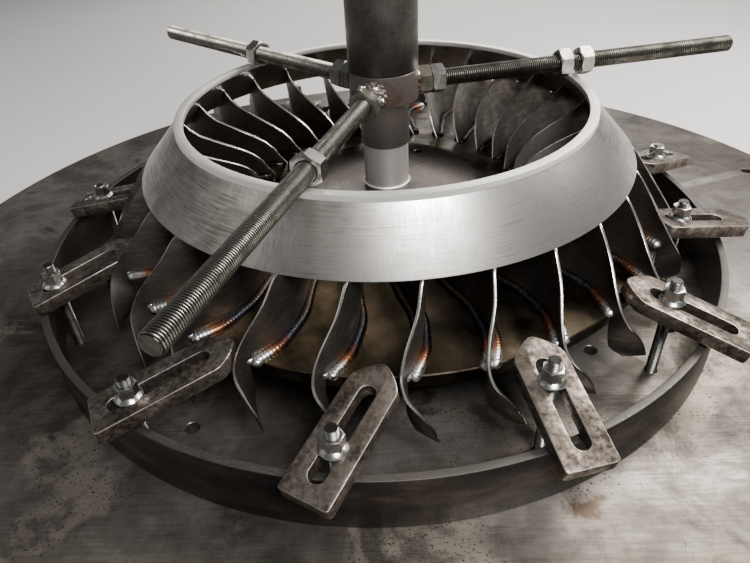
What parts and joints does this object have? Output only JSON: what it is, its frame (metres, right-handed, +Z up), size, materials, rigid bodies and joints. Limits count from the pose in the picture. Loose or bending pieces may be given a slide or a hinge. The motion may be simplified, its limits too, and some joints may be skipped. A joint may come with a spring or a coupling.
{
  "type": "mixed flow impeller in its welding jig",
  "caption": "Mixed flow pump impeller with curved blades between hub and conical shroud, clamped to a round plate and centred by threaded rods for welding.",
  "frame": {"origin": "centre of the round plate's underside, on the impeller's axis", "axes": "+Z up along the impeller's axis, -Y towards the camera, +X to the picture's right"},
  "size_m": [1.364, 1.364, 0.449],
  "materials": {
    "table": "worn mill scale with stains",
    "ring": "dark mill scale",
    "hub": "heat-tinted",
    "machined": "machined",
    "shroud": "brushed",
    "blade": "dark steel with bright cut edges",
    "tube": "dark steel",
    "collar": "rusty",
    "thread": "zinc plated, dulled",
    "nut": "zinc plated",
    "clamp": "worn and rusty, with bright zinc nut"
  },
  "bodies": {
    "root": {"table_plate": "table", "standing_ring": "ring", "hub_boss": "machined", "hub_plate": "hub", "shroud": "shroud", "shaft": "machined", "collar": "collar", "tube": "tube", "threaded_rod_front": "thread", "threaded_rod_right": "thread", "threaded_rod_left": "thread", "blade_01": "blade", "blade_02": "blade", "blade_03": "blade", "blade_04": "blade", "blade_05": "blade", "blade_06": "blade", "blade_07": "blade", "blade_08": "blade", "blade_09": "blade", "blade_10": "blade", "blade_11": "blade", "blade_12": "blade", "blade_13": "blade", "blade_14": "blade", "blade_15": "blade", "blade_16": "blade", "blade_17": "blade", "blade_18": "blade", "blade_19": "blade", "blade_20": "blade", "blade_21": "blade", "blade_22": "blade", "blade_23": "blade", "blade_24": "blade", "blade_25": "blade", "blade_26": "blade", "blade_27": "blade", "blade_28": "blade", "strap_clamp_01": "clamp", "strap_clamp_02": "clamp", "strap_clamp_03": "clamp", "strap_clamp_04": "clamp", "strap_clamp_05": "clamp", "strap_clamp_06": "clamp", "strap_clamp_07": "clamp", "strap_clamp_08": "clamp", "strap_clamp_09": "clamp", "strap_clamp_10": "clamp", "strap_clamp_11": "clamp", "strap_clamp_12": "clamp"},
    "nut_front": {"centring_nut_front": "nut"},
    "nut_right_inner": {"centring_nut_right_inner": "nut"},
    "nut_right_outer": {"centring_nut_right_outer": "nut"},
    "nut_left": {"centring_nut_left": "nut"}
  },
  "joints": [
    {"name": "nut_front_travel", "type": "slide", "parent": "root", "child": "nut_front", "axis": [-0.309, -0.9511, 0], "range_m": [-0.135, 0]},
    {"name": "nut_right_inner_travel", "type": "slide", "parent": "root", "child": "nut_right_inner", "axis": [0.9755, 0.2199, 0], "range_m": [-0.136, 0]},
    {"name": "nut_right_outer_travel", "type": "slide", "parent": "root", "child": "nut_right_outer", "axis": [0.9755, 0.2199, 0], "range_m": [0, 0.19]},
    {"name": "nut_left_travel", "type": "slide", "parent": "root", "child": "nut_left", "axis": [-0.7547, 0.6561, 0], "range_m": [-0.136, 0]}
  ]
}
